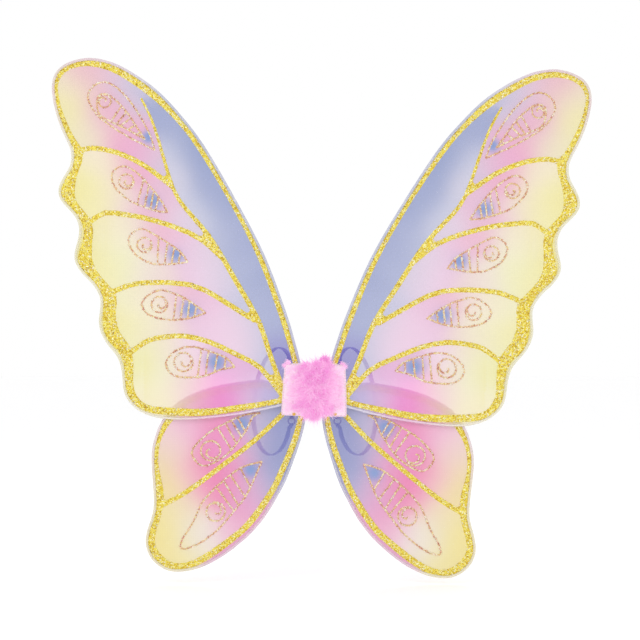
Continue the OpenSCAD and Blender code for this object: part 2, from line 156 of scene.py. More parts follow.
def reach_over(edges, fold, reach):
    """The outline with the points nearest its fold line carried on inboard, past the gap."""
    point, along, across = fold
    out = (edges - point) @ across
    near = out.min() + 0.15 * MM
    moved = {}
    for (a, b), (da, db) in zip(edges, out):
        for end, other, d, d_other in ((a, b, da, db), (b, a, db, da)):
            if d < near <= d_other:
                way = unit(end - other)
                moved[tuple(end)] = end + way * min(reach / max(-(way @ across), 0.35), 3 * reach)
    return np.array([[moved.get(tuple(p), p) for p in e] for e in edges])


def joined(side, wing, part, root_part):
    """A wing's flat part and its root part, made to overlap across the fold."""
    wing_edges = outline(f"{side}_{wing}_{part}")
    root_edges = outline(f"{side}_{wing}_{root_part}")
    return [reach_over(wing_edges, fold_of(side, wing), 2.6 * MM), root_edges]


def inside(shape, points):
    """Whether each point lies inside any part of a shape."""
    found = np.zeros(len(points), bool)
    for edges in shape:
        odd = np.zeros(len(points), bool)
        for (ax, az), (bx, bz) in edges:
            if az == bz:
                continue
            spans = (points[:, 1] > min(az, bz)) & (points[:, 1] <= max(az, bz))
            cut = ax + (points[:, 1] - az) * (bx - ax) / (bz - az)
            odd ^= spans & (points[:, 0] < cut)
        found |= odd
    return found


def samples(shape, step):
    """Points along a shape's edges, no further apart than step."""
    found = []
    for edges in shape:
        for a, b in edges:
            n = max(1, math.ceil(np.linalg.norm(b - a) / step))
            found += [a + (b - a) * k / n for k in range(n)]
    return np.array(found)


def tree_of(points):
    tree = KDTree(len(points))
    for i, (x, z) in enumerate(points):
        tree.insert((x, 0, z), i)
    tree.balance()
    return tree


def away(tree, points):
    """Each point's distance from the nearest point of the tree."""
    return np.array([tree.find((x, 0, z))[2] for x, z in points])


def hex_grid(low, high, step, rng, jitter):
    """Points over a box in staggered rows, each moved at random by a share of the step."""
    rows = np.arange(low[1], high[1], step * 0.866)
    found = []
    for i, z in enumerate(rows):
        x = np.arange(low[0] + (i % 2) * step / 2, high[0], step)
        found.append(np.stack([x, np.full(len(x), z)], axis=1))
    grid = np.concatenate(found)
    return grid + rng.uniform(-jitter, jitter, grid.shape) * step


def fill(shape, step, seed, jitter=0.12, fine=()):
    """A shape filled with small triangles: points (x, z), triangles, distance from the edge."""
    rng = np.random.default_rng(seed)
    rim = np.concatenate(shape).reshape(-1, 2)
    grid = hex_grid(rim.min(0), rim.max(0), step, rng, jitter)
    for centre, radius, fine_step in fine:
        near = np.linalg.norm(grid - centre, axis=1) < radius
        patch = hex_grid(centre - radius, centre + radius, fine_step, rng, jitter)
        patch = patch[np.linalg.norm(patch - centre, axis=1) < radius]
        grid = np.concatenate([grid[~near], patch])
    edge_tree = tree_of(samples(shape, step / 2))
    grid = grid[inside(shape, grid)]
    grid = grid[away(edge_tree, grid) > step * 0.45]
    points, links = [Vector(p * 1000) for p in grid], []
    for edges in shape:
        for a, b in edges:
            n = max(1, math.ceil(np.linalg.norm(b - a) / step))
            first = len(points)
            points += [Vector((a + (b - a) * k / n) * 1000) for k in range(n + 1)]
            links += [(first + k, first + k + 1) for k in range(n)]
    made, _, faces, *_ = delaunay_2d_cdt(points, links, [], 0, 1e-4)
    flat = np.array([(v.x, v.y) for v in made]) / 1000
    faces = np.array([f for f in faces if len(f) == 3])
    faces = faces[inside(shape, flat[faces].mean(1))]
    used, numbers = np.unique(faces, return_inverse=True)
    flat, faces = flat[used], numbers.reshape(-1, 3)
    turn = doubled_areas(flat, faces)
    faces[turn < 0] = faces[turn < 0][:, ::-1]
    rim_points = np.unique(rim_edges(faces))
    depth = away(tree_of(flat[rim_points]), flat)
    return flat, faces, depth


def doubled_areas(flat, faces):
    """Twice each triangle's area, below zero where it runs clockwise."""
    a, b, c = (flat[faces[:, k]] for k in range(3))
    return (b - a)[:, 0] * (c - a)[:, 1] - (b - a)[:, 1] * (c - a)[:, 0]


def rim_edges(faces):
    """The edges that only one triangle uses, in the triangle's own direction."""
    pairs = faces[:, [0, 1, 1, 2, 2, 0]].reshape(-1, 2)
    keys = np.sort(pairs, axis=1)
    _, first, count = np.unique(keys, axis=0, return_index=True, return_counts=True)
    return pairs[first[count == 1]]


def loops_of(pairs):
    """Closed loops of point numbers, from directed edges."""
    after = {}
    for a, b in pairs.tolist():
        after.setdefault(a, []).append(b)
    found = []
    while after:
        here = next(iter(after))
        loop = []
        while here in after:
            loop.append(here)
            ways = after[here]
            there = ways.pop()
            if not ways:
                del after[here]
            here = there
        found.append(loop)
    return found


# ---- Meshes ----

def add_object(name, data):
    """A new object in the scene, with this mesh, lamp or camera."""
    obj = bpy.data.objects.new(name, data)
    bpy.context.scene.collection.objects.link(obj)
    return obj


def make(name, points, faces, material, smooth=True):
    mesh = bpy.data.meshes.new(name)
    mesh.from_pydata([tuple(p) for p in points], [], [tuple(int(i) for i in f) for f in faces])
    mesh.validate()
    mesh.polygons.foreach_set("use_smooth", [smooth] * len(mesh.polygons))
    mesh.materials.append(material)
    return add_object(name, mesh)


def make_from(bm, name, material):
    """An object from a bmesh, which is used up."""
    mesh = bpy.data.meshes.new(name)
    bm.to_mesh(mesh)
    bm.free()
    mesh.materials.append(material)
    return add_object(name, mesh)


def paint(obj, colours, name="Tint"):
    """Writes a linear colour for each vertex."""
    layer = obj.data.color_attributes.new(name, "FLOAT_COLOR", "POINT")
    rgba = np.ones((len(obj.data.vertices), 4), np.float32)
    rgba[:, :3] = colours
    layer.data.foreach_set("color", rgba.ravel())
    return obj


def slab(flat, faces, front_y, back_y):
    """A closed thin solid from filled flat points, with a depth for each point's front and back."""
    n = len(flat)
    front = np.stack([flat[:, 0], front_y, flat[:, 1]], axis=1)
    back = np.stack([flat[:, 0], back_y, flat[:, 1]], axis=1)
    walls = []
    for a, b in rim_edges(faces):
        walls += [(b, a, a + n), (b, a + n, b + n)]
    return np.concatenate([front, back]), [*faces, *(faces[:, ::-1] + n), *walls]


def headings(path):
    """The unit direction of travel at each point of a path."""
    way = np.gradient(path, axis=0)
    return way / np.linalg.norm(way, axis=1)[:, None]


def loft(rings, sides):
    """The faces of a closed tube: rings of points, each with this many sides, and two end caps."""
    faces = []
    for i in range(rings - 1):
        for k in range(sides):
            a, b = i * sides + k, i * sides + (k + 1) % sides
            faces.append((a, b, b + sides, a + sides))
    last = (rings - 1) * sides
    return [*faces, tuple(range(sides))[::-1], tuple(range(last, last + sides))]


def tube(path, radii, sides):
    """A closed tube along a path in a wing's plane, with one radius for each point."""
    points = []
    up = np.array([0.0, 1.0, 0.0])
    for p, way, radius in zip(path, np.gradient(path, axis=0), radii):
        way = unit(way)
        side = unit(np.cross(way, up))
        lift = np.cross(side, way)
        for k in range(sides):
            a = 2 * math.pi * k / sides
            points.append(p + radius * (side * math.cos(a) + lift * math.sin(a)))
    return points, loft(len(path), sides)


# ---- Colours ----

def linear(code):
    """A colour such as "f6efb9", in the linear values that Blender works in."""
    srgb = np.array([int(code[k:k + 2], 16) / 255 for k in (0, 2, 4)])
    return np.where(srgb <= 0.04045, srgb / 12.92, ((srgb + 0.055) / 1.055) ** 2.4)


# Airbrushed colours of the upper wings and where each is purest, in mm on the left-hand wing
UPPER_COLOURS = {
    "f2ecc0": [(-245, 270), (-235, 256)],
    "f1e6ca": [(-248, 305), (-236, 294), (-225, 250)],
    "f3eaac": [(-249, 287), (-243, 276)],
    "eed6cf": [(-215, 262), (-225, 270)],
    "eec6c8": [(-232, 312), (-222, 292)],
    "f6ead0": [(-215, 230), (-207, 221)],
    "ebbccd": [(-200, 285), (-228, 318), (-190, 274), (-213, 282)],
    "e6c6d8": [(-205, 315), (-170, 240), (-160, 238)],
    "f0b6cf": [(-200, 255), (-187, 247), (-190, 228), (-176, 218)],
    "efa9d2": [(-179, 244), (-171, 236), (-207, 278)],
    "d8cade": [(-190, 303), (-155, 232), (-150, 222), (-180, 292)],
    "a6aed2": [(-160, 285), (-150, 270), (-140, 262), (-55, 108), (-74, 152)],
    "9ba6cd": [(-131, 247), (-122, 235), (-115, 222), (-111, 208), (-101, 196), (-93, 185)],
    "c0c4de": [(-178, 296), (-92, 150)],
    "d4d4e6": [(-146, 240), (-139, 222), (-131, 202), (-119, 184), (-110, 174)],
    "dcd4e2": [(-139, 209)],
    "acb3d6": [(-103, 205), (-98, 190), (-85, 170), (-72, 142), (-46, 84), (-36, 60)],
    "b6bcdb": [(-76, 120), (-60, 90), (-48, 65)],
    "a19ed2": [(-38, 42), (-36, 34), (-34, 26)],
    "f6efb6": [(-235, 225), (-225, 210), (-225, 190), (-215, 184), (-210, 120), (-190, 60)],
    "f5e8cc": [(-205, 195), (-200, 160), (-195, 168), (-175, 100), (-160, 60), (-150, 46)],
    "e9c2d9": [(-150, 200), (-150, 186), (-90, 38), (-115, 50)],
    "f1dcd8": [(-190, 184), (-180, 166), (-150, 114), (-150, 102), (-140, 62), (-130, 4)],
    "f0c0d4": [(-170, 178), (-160, 175), (-160, 165), (-146, 158), (-130, 97)],
    "e6d3e5": [(-135, 175), (-125, 166), (-110, 143), (-70, 50), (-105, 122)],
    "dbd2e2": [(-115, 160), (-95, 124), (-75, 74), (-90, 110)],
    "f2e89e": [(-236, 199), (-222, 155), (-222, 140), (-216, 165), (-198, 70), (-182, 25), (-182, 5)],
    "f8f4d6": [(-205, 160), (-195, 152), (-186, 78), (-166, 67), (-160, 9)],
    "f9ecdc": [(-166, 89)],
    "f3f1c6": [(-205, 140), (-190, 120), (-182, 52), (-165, 40), (-160, 20), (-185, 98)],
    "f3e7da": [(-170, 120), (-165, 58), (-145, 32)],
    "f3eda6": [(-174, 26), (-175, 62)],
    "f5d8ec": [(-108, 117), (-98, 106), (-89, 68), (-82, 54), (-76, 47), (-103, 61), (-128, 47)],
    "edcae3": [(-130, 150), (-125, 120), (-95, 88), (-92, 62), (-112, 62)],
    "efc6df": [(-110, 90), (-115, 78), (-68, 26)],
    "f0b0de": [(-77, 14)],
    "e0b0dc": [(-66, 14)],
    "cca8d4": [(-59, 19)],
    "cdcce3": [(-90, 113), (-80, 96), (-70, 84), (-60, 56), (-50, 40)],
    "faf1cc": [(-165, -8), (-150, -10)],
    "faeada": [(-136, 0)],
    "fccce0": [(-118, -8), (-112, 2)],
    "ffb4e8": [(-100, -4), (-86, -12), (-92, 2)],
    "f8dcf6": [(-72, 0), (-60, -8), (-57, 3)],
    "cdd2f4": [(-45, -8), (-42, 0), (-36, -8)],
}

# The same for the lower wings
LOWER_COLOURS = {
    "f4e490": [(-153, -138), (-146, -101)],
    "f4e49c": [(-157, -130), (-158, -150), (-152, -163), (-150, -112)],
    "f4e8a8": [(-145, -125), (-140, -145), (-140, -167), (-125, -165)],
    "f0dcaa": [(-155, -70), (-152, -90), (-136, -125)],
    "f3dcd2": [(-147, -46), (-149, -58)],
    "f1d8c2": [(-136, -98), (-125, -116)],
    "f1e8da": [(-128, -130), (-124, -150), (-113, -142), (-110, -158)],
    "f7d0e4": [(-138, -37), (-88, -143)],
    "f2e4e0": [(-101, -149)],
    "f3c8cd": [(-135, -56), (-130, -80)],
    "f4bede": [(-126, -38), (-113, -37)],
    "f2b0c6": [(-120, -30), (-120, -88), (-110, -105)],
    "f080b4": [(-110, -78), (-102, -30), (-104, -54), (-92, -42), (-90, -88), (-98, -100)],
    "ec92c0": [(-95, -64), (-84, -22), (-84, -56), (-80, -82), (-78, -104)],
    "ecaacb": [(-75, -70), (-85, -140), (-75, -130), (-74, -92), (-70, -30)],
    "d3b6d6": [(-65, -60), (-66, -95)],
    "ebacd2": [(-64, -112)],
    "f4b4e0": [(-89, -57), (-89, -46)],
    "c4c0da": [(-60, -40), (-58, -32), (-56, -20)],
    "bcb2d4": [(-55, -52), (-52, -100)],
    "a3a8d0": [(-45, -40), (-42, -85), (-45, -26), (-44, -64)],
    "999fcc": [(-38, -65), (-32, -50), (-28, -60), (-25, -32), (-22, -42), (-34, -20)],
    "e9a9cd": [(-80, -160), (-62, -146)],
}
CLOTH_COLOURS = {"upper": UPPER_COLOURS, "lower": LOWER_COLOURS}

# How far a colour's soft spot and its faint surroundings spread, in mm, and how strong these are
SPOT_SPREAD, FAR_SPREAD = 12.0, 40.0
FAR_SHARE, EVERYWHERE = 2e-4, 1e-9
BEHIND_GOLD = 0.01

# How much the cloth covers what is behind it, and how strongly the room lights it
COVERING = {"upper": 0.78, "lower": 0.84}
CLOTH_GAIN = 1.13


def dyed(colours, wing):
    """The dye that gives these seen colours over a white background."""
    cover = COVERING[wing]
    return np.clip((colours - (1 - cover)) / (cover * CLOTH_GAIN), 0.02, 1)


# Blue airbrushed spots at the narrow ends of the teardrops: x, z and radius, in mm
BLUE_SPOTS = {
    "upper": [(-166, 253, 7), (-161, 189, 9), (-138, 136, 9), (-124, 81, 10), (-98, 28, 11)],
    "lower": [(-73, -34, 10), (-64, -80, 9)],
}
BLUE = "86a0d4"


def cloth_colours(flat, side, wing, gold):
    """Colours for the cloth's points: each place takes the colours it sees without crossing gold."""
    mm = to_left(flat, side) * 1000
    mask, origin = gold
    anchors = np.array([p for places in CLOTH_COLOURS[wing].values() for p in places], float)
    colours = np.array([linear(c) for c, places in CLOTH_COLOURS[wing].items() for _ in places])
    total, weight = np.zeros((len(mm), 3)), np.zeros(len(mm))
    steps = np.linspace(0.08, 1, 22)
    for anchor, colour in zip(anchors, colours):
        line = mm[:, None] + (anchor - mm)[:, None] * steps[None, :, None]
        cell = np.clip(np.round(line - origin).astype(int), 0, np.array(mask.shape) - 1)
        hidden = mask[cell[..., 0], cell[..., 1]].sum(1) > 1
        apart = ((mm - anchor) ** 2).sum(1)
        far = np.exp(-apart / (2 * FAR_SPREAD ** 2))
        w = np.exp(-apart / (2 * SPOT_SPREAD ** 2)) + FAR_SHARE * far + EVERYWHERE
        w = np.where(hidden, w * BEHIND_GOLD, w)
        total += w[:, None] * colour
        weight += w
    return total / weight[:, None]


def gold_mask(shape, side):
    """The gold drawing as a grid of 1 mm squares on the left-hand wing, with its corner."""
    mm = to_left(np.concatenate(shape).reshape(-1, 2), side) * 1000
    low, high = np.floor(mm.min(0)) - 2, np.ceil(mm.max(0)) + 2
    left = [to_left(e.reshape(-1, 2), side).reshape(-1, 2, 2) * 1000 for e in shape]
    xs, zs = np.arange(low[0], high[0]), np.arange(low[1], high[1])
    grid = np.stack(np.meshgrid(xs, zs, indexing="ij"), axis=-1).reshape(-1, 2)
    return inside(left, grid).reshape(len(xs), len(zs)), low


def outer_loops(edges):
    """The edges of the loops that lie in no other loop's box."""
    numbers, ends = {}, []
    for a, b in edges:
        for p in (a, b):
            numbers.setdefault(tuple(p), len(numbers))
        ends.append((numbers[tuple(a)], numbers[tuple(b)]))
    parent = list(range(len(numbers)))

    def root(i):
        while parent[i] != i:
            parent[i] = parent[parent[i]]
            i = parent[i]
        return i

    for a, b in ends:
        parent[root(a)] = root(b)
    group = np.array([root(a) for a, _ in ends])
    boxes = {g: (edges[group == g].min((0, 1)), edges[group == g].max((0, 1))) for g in set(group)}
    outer = [
        g for g, (low, high) in boxes.items()
        if not any(h != g and (boxes[h][0] < low).all() and (boxes[h][1] > high).all() for h in boxes)
    ]
    return edges[np.isin(group, outer)]


def add_blue(colours, flat, side, wing, drops):
    """Adds the airbrushed blue inside the teardrops' narrow ends."""
    mm = to_left(flat, side) * 1000
    within = inside([drops], flat)
    for x, z, radius in BLUE_SPOTS[wing]:
        apart = np.linalg.norm(mm - (x, z), axis=1) / radius
        share = np.where(within, 0.95 * np.exp(-apart ** 2.5), 0.2 * np.exp(-apart ** 2))
        colours = colours * (1 - share[:, None]) + linear(BLUE) * share[:, None]
    return colours


# ---- Materials ----

class Nodes:
    """A short way to wire a material's nodes."""

    def __init__(self, name):
        self.material = bpy.data.materials.new(name)
        self.material.use_nodes = True
        self.tree = self.material.node_tree
        self.shader = self.tree.nodes["Principled BSDF"]

    def add(self, kind, **values):
        node = self.tree.nodes.new("ShaderNode" + kind)
        for key, value in values.items():
            if hasattr(node, key):
                setattr(node, key, value)
            else:
                node.inputs[key.replace("_", " ")].default_value = value
        return node

    def link(self, out, into):
        self.tree.links.new(out, into)

    def set(self, **values):
        for key, value in values.items():
            self.shader.inputs[key.replace("_", " ")].default_value = value

    def place(self, turn=0.0):
        """The point's place on the object, in metres, turned about Y."""
        mapping = self.add("Mapping", Rotation=(0, turn, 0))
        self.link(self.add("TexCoord").outputs["Object"], mapping.inputs["Vector"])
        return mapping.outputs["Vector"]

    def ramp(self, fac, stops):
        node = self.add("ValToRGB")
        while len(node.color_ramp.elements) < len(stops):
            node.color_ramp.elements.new(0.5)
        for element, (at, colour) in zip(node.color_ramp.elements, stops):
            element.position = at
            element.color = (*linear(colour), 1)
        self.link(fac, node.inputs["Fac"])
        return node.outputs["Color"]

    def feed(self, values, sockets):
        """Gives sockets their values, each another socket, a colour code or a plain value."""
        for value, socket in zip(values, sockets):
            if isinstance(value, bpy.types.NodeSocket):
                self.link(value, socket)
            else:
                socket.default_value = (*linear(value), 1) if isinstance(value, str) else value

    def mix(self, fac, a, b, how="MIX"):
        node = self.add("Mix", data_type="RGBA", blend_type=how)
        self.feed((fac, a, b), (node.inputs[0], node.inputs[6], node.inputs[7]))
        return node.outputs[2]

    def noise(self, scale, detail=3.0, rough=0.5):
        node = self.add("TexNoise", Scale=scale, Detail=detail, Roughness=rough)
        self.link(self.place(), node.inputs["Vector"])
        return node.outputs["Fac"]

    def wave(self, scale, turn=0.0):
        """Fine parallel threads, scale of them to the metre, turned about Y."""
        node = self.add("TexWave", Scale=scale / 20, Distortion=0.4, Detail=1.0)
        self.link(self.place(turn), node.inputs["Vector"])
        return node.outputs["Fac"]

    def maths(self, how, a, b):
        node = self.add("Math", operation=how)
        self.feed((a, b), node.inputs)
        return node.outputs[0]

    def vector(self, how, *vectors, **values):
        """A vector sum, its vectors each a socket or a plain value."""
        node = self.add("VectorMath", operation=how, **values)
        self.feed(vectors, node.inputs)
        return node.outputs[0]

    def range(self, value, low, high):
        node = self.add("MapRange", To_Min=low, To_Max=high)
        self.link(value, node.inputs["Value"])
        return node.outputs[0]

    def bump(self, height, distance, strength=1.0, after=None):
        node = self.add("Bump", Strength=strength, Distance=distance)
        self.link(height, node.inputs["Height"])
        if after:
            self.link(after, node.inputs["Normal"])
        return node.outputs["Normal"]

    def finish(self, colour, rough, normal=None):
        for socket, name in ((colour, "Base Color"), (rough, "Roughness"), (normal, "Normal")):
            if socket is not None:
                self.link(socket, self.shader.inputs[name])
        return self.material


def weave_height(m, threads):
    """Crossing threads, threads to the metre each way."""
    warp = m.wave(threads)
    weft = m.wave(threads, turn=math.pi / 2)
    return m.maths("MULTIPLY", warp, weft)


def sheer_material(name, alpha):
    """Sheer organza: a fine mesh with a faint cloudy shading and a few tiny pale specks, the fabric's
    sparkle painted as white glints.
    """
    m = Nodes(name)
    tint = m.add("VertexColor", layer_name="Tint").outputs["Color"]
    weave = weave_height(m, 3600)
    cloudy = m.noise(60, 4)
    thread = m.mix(m.range(weave, 0.0, 0.14), tint, m.range(cloudy, 0.5, 1.0), "MULTIPLY")
    # painted highlight: tiny white glints mixed into the colour
    specks = m.add("TexVoronoi", Scale=420.0)
    m.link(m.place(), specks.inputs["Vector"])
    glint = m.maths("LESS_THAN", specks.outputs["Distance"], 0.07)
    colour = m.mix(m.maths("MULTIPLY", glint, 0.5), thread, "ffffff")
    ripple = m.bump(m.noise(45, 3), 0.0012, 0.3)
    m.set(Alpha=alpha, Sheen_Weight=0.12, Sheen_Roughness=0.35, Coat_Weight=0.06, Coat_Roughness=0.3)
    m.set(Specular_IOR_Level=0.3)
    return m.finish(colour, m.range(cloudy, 0.42, 0.58), m.bump(weave, 0.00008, 0.5, ripple))


def glitter_material(name, grain, stops, metallic, tilt, spark):
    """Flakes grain to the metre, each with its own colour from the stops and its own tilt; flakes past
    spark get a painted white sparkle highlight.
    """
    m = Nodes(name)
    cells = m.add("TexVoronoi", Scale=grain)
    m.link(m.place(), cells.inputs["Vector"])
    pick = m.add("SeparateColor")
    m.link(cells.outputs["Color"], pick.inputs["Color"])
    big = m.noise(grain * 0.22, 2, 0.6)
    spread = m.maths("ADD", m.maths("MULTIPLY", pick.outputs[0], 0.75), m.maths("MULTIPLY", big, 0.35))
    colour = m.ramp(spread, stops)
    gap = m.range(m.maths("SUBTRACT", 1.0, cells.outputs["Distance"]), 0.8, 1.0)
    colour = m.mix(0.5, colour, gap, "MULTIPLY")
    # painted highlight: some flakes are mixed towards white as a sparkle
    painted_sparkle = m.maths("GREATER_THAN", pick.outputs[1], spark)
    colour = m.mix(m.maths("MULTIPLY", painted_sparkle, 0.8), colour, "fffdf0")
    lean = m.vector("SUBTRACT", cells.outputs["Color"], (0.5, 0.5, 0.5))
    lean = m.vector("SCALE", lean, Scale=tilt)
    lean = m.vector("ADD", m.add("NewGeometry").outputs["Normal"], lean)
    normal = m.vector("NORMALIZE", lean)
    m.set(Metallic=metallic, Coat_Weight=0.2, Coat_Roughness=0.1)
    return m.finish(colour, m.range(pick.outputs[2], 0.18, 0.5), normal)


def plain_material(name, colours, rough, scale, bump, **values):
    """A material whose colour wanders between two, with a grain of scale to the metre."""
    m = Nodes(name)
    grain = m.noise(scale, 5, 0.6)
    colour = m.mix(m.range(m.noise(scale * 0.15, 3), 0, 1), colours[0], colours[1])
    colour = m.mix(m.range(grain, 0.0, 0.12), colour, "5a4a50", "MULTIPLY")
    m.set(**values)
    return m.finish(colour, m.range(grain, rough - 0.08, rough + 0.1), m.bump(grain, bump, 0.6))


def cloth_material(name, colours, threads, nap, **values):
    """Woven or napped cloth: threads to the metre, with a soft nap of fibres."""
    m = Nodes(name)
    weave = weave_height(m, threads)
    fibre = m.noise(2600, 4, 0.7)
    colour = m.mix(m.range(m.noise(70, 4), 0, 1), colours[0], colours[1])
    colour = m.mix(m.range(weave, 0.0, 0.2), colour, "ffffff", "SOFT_LIGHT")
    colour = m.mix(m.range(fibre, 0.0, 0.14), colour, "c08aa8", "MULTIPLY")
    m.set(**values)
    height = m.mix(nap, weave, fibre)
    return m.finish(colour, m.range(fibre, 0.7, 0.95), m.bump(height, 0.0002, 0.7))


def fluff_material():
    m = Nodes("fluff")
    tint = m.add("VertexColor", layer_name="Tint").outputs["Color"]
    colour = m.mix(m.range(m.noise(400, 3), 0.0, 0.2), tint, "ffffff", "SOFT_LIGHT")
    m.set(Sheen_Weight=0.3, Sheen_Roughness=0.5, Specular_IOR_Level=0.25)
    # painted glow: the strands give off their own tint as light, standing in for light that passes
    # through down, so they never look dark inside
    m.link(tint, m.shader.inputs["Emission Color"])
    m.set(Emission_Strength=0.12)
    return m.finish(colour, m.range(m.noise(900, 2), 0.7, 0.95))


GOLD_STOPS = [(0.05, "ba8e22"), (0.25, "dcb832"), (0.5, "efd944"), (0.72, "f5e86c"), (0.95, "fdf7c0")]
ROSE_STOPS = [(0.1, "c9826c"), (0.32, "dc9c88"), (0.5, "eec2a4"), (0.68, "f0d488"), (0.9, "fdf3d4")]

MATERIALS = {
    "upper_cloth": sheer_material("upper_cloth", COVERING["upper"]),
    "lower_cloth": sheer_material("lower_cloth", COVERING["lower"]),
    "hem": sheer_material("hem_cloth", 0.5),
    "gold": glitter_material("gold_glitter", 900.0, GOLD_STOPS, 0.45, 0.9, 0.93),
    "rose": glitter_material("rose_glitter", 800.0, ROSE_STOPS, 0.3, 0.8, 0.86),
    "wire": plain_material("coated_wire", ("fdfbfd", "f8f5f9"), 0.4, 500, 0.00005),
    "staple": plain_material("staple_steel", ("c9ccd2", "a9adb5"), 0.28, 900, 0.0001, Metallic=0.95),
    "brass": plain_material("stud_brass", ("f2c964", "e0a93c"), 0.3, 700, 0.0001, Metallic=0.6),
    "ring": plain_material("ring_plastic", ("e59ad0", "cf86c8"), 0.25, 200, 0.00005, Coat_Weight=0.4),
    "board": plain_material("core_board", ("d8cdbb", "c6b9a3"), 0.85, 350, 0.0002),
    "foam": plain_material("foam", ("f9f4f6", "efe6ea"), 0.9, 1200, 0.0004),
    "felt": cloth_material("felt", ("f3e6ee", "ead8e4"), 500, 0.95, Sheen_Weight=0.5),
    "cover": cloth_material("cover_cloth", ("fdeaf6", "f9daee"), 2700, 0.6, Sheen_Weight=0.5,
                            Sheen_Roughness=0.4),
    "tab": cloth_material("tab_cloth", ("eab0d8", "dfa0cf"), 1800, 0.3, Sheen_Weight=0.3),
    "thread": cloth_material("thread", ("f6c3df", "ee9fcf"), 4000, 0.4, Sheen_Weight=0.4),
    "elastic": cloth_material("elastic", ("bcb0e2", "aa9edb"), 1600, 0.25, Sheen_Weight=0.2),
    "fluff": fluff_material(),
}


def dress(node, material):
    """Gives a CAD node its finished material."""
    slots = frame["nodes"][node].data.materials
    slots.clear()
    slots.append(MATERIALS[material])


# ---- Wings ----


def across_fold(obj):
    """Bakes a piece's place and turn into its mesh."""
    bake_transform(obj)


def wobble(p, size, seed):
    """Smooth noise at a point (x, z), from about -1 to 1."""
    return noise.noise((p[0] / size, seed * 7.3, p[1] / size))


def centre_depth(node):
    low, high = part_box(node)
    return (low[1] + high[1]) / 2


def build_wing(side, wing, seed):
    name = f"{side}_{wing}"
    plane = centre_depth(f"{name}_skin")
    cloth = joined(side, wing, "skin", "root_skin")
    gold = joined(side, wing, "gold_glitter", "root_gold")
    rose = [outline(f"{name}_rose_glitter")]
    drops = outer_loops(rose[0])
    fine = [(from_left(x, z, side) * MM, (radius + 5) * MM, 0.9 * MM)
            for x, z, radius in BLUE_SPOTS[wing]]

    # the sheer cloth, with faint tension ripples
    flat, faces, depth = fill(cloth, 2.2 * MM, seed, 0.1, fine)
    colours = cloth_colours(flat, side, wing, gold_mask(gold, side))
    colours = dyed(add_blue(colours, flat, side, wing, drops), wing)
    ease = np.clip(depth / (10 * MM), 0, 1)
    ripple = np.array([wobble(p, 0.022, seed) + 0.5 * wobble(p, 0.009, seed + 1) for p in flat])
    y = plane + 0.45 * MM * ease * ripple
    points = np.stack([flat[:, 0], y, flat[:, 1]], axis=1)
    skin = paint(make(f"{name}_cloth", points, faces, MATERIALS[f"{wing}_cloth"]), colours)
    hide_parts(f"{name}_skin", f"{name}_root_skin")
    across_fold(skin)

    # the hem that the wire runs through, and the wire in it
    hem, wire = build_hem(name, flat, faces, colours, plane, seed)
    for obj in (hem, wire):
        across_fold(obj)
    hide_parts(f"{name}_wire_frame")

    # the glitter drawings
    cover = BVHTree.FromPolygons([Vector(p) for p in points], [tuple(map(int, f)) for f in faces])
    band = build_glitter(f"{name}_gold", gold, "gold", cover, seed)
    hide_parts(f"{name}_gold_glitter", f"{name}_root_gold")
    across_fold(band)
    lines = build_glitter(f"{name}_rose", rose, "rose", cover, seed + 5)
    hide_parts(f"{name}_rose_glitter")
    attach(lines, f"{name}_wing")
    dress(f"{name}_root_wires", "wire")


def lay(cover, flat, fallback):
    """The cloth's depth under each point (x, z)."""
    found = np.full(len(flat), fallback)
    for i, (x, z) in enumerate(flat):
        hit = cover.ray_cast(Vector((x, -0.1, z)), Vector((0, 1, 0)))[0]
        if hit is not None:
            found[i] = hit.y
    return found


# Each glitter's mesh step, height and roughness, in mm
GLITTER = {"gold": (1.15, 0.62, 0.22), "rose": (0.7, 0.4, 0.16)}


def build_glitter(name, shape, material, cover, seed):
    """A raised drawing in glitter: domed across its width, with a rough flaky top."""
    step, height, rough = (size * MM for size in GLITTER[material])
    flat, faces, depth = fill(shape, step, seed, 0.3)
    rng = np.random.default_rng(seed)
    base = lay(cover, flat, np.median(lay(cover, flat[:200], 0.0)))
    dome = np.clip(depth / (1.6 * MM), 0, 1) ** 0.6
    flakes = rng.uniform(-1, 1, len(flat)) * rough * np.clip(depth / (0.5 * MM), 0, 1)
    front = base - 0.08 * MM - height * dome + flakes
    points, all_faces = slab(flat, faces, front, base - 0.04 * MM)
    flakes, flake_faces = scatter_flakes(flat, faces, front, FLAKES[material], rng)
    all_faces += [tuple(i + len(points) for i in f) for f in flake_faces]
    return make(name, [*points, *flakes], all_faces, MATERIALS[material], smooth=False)


# Loose flakes on each drawing: the area for one flake in mm2, its half width and its overhang in mm
FLAKES = {"gold": (1.3, 0.44, 0.15), "rose": (0.30, 0.5, 0.62)}


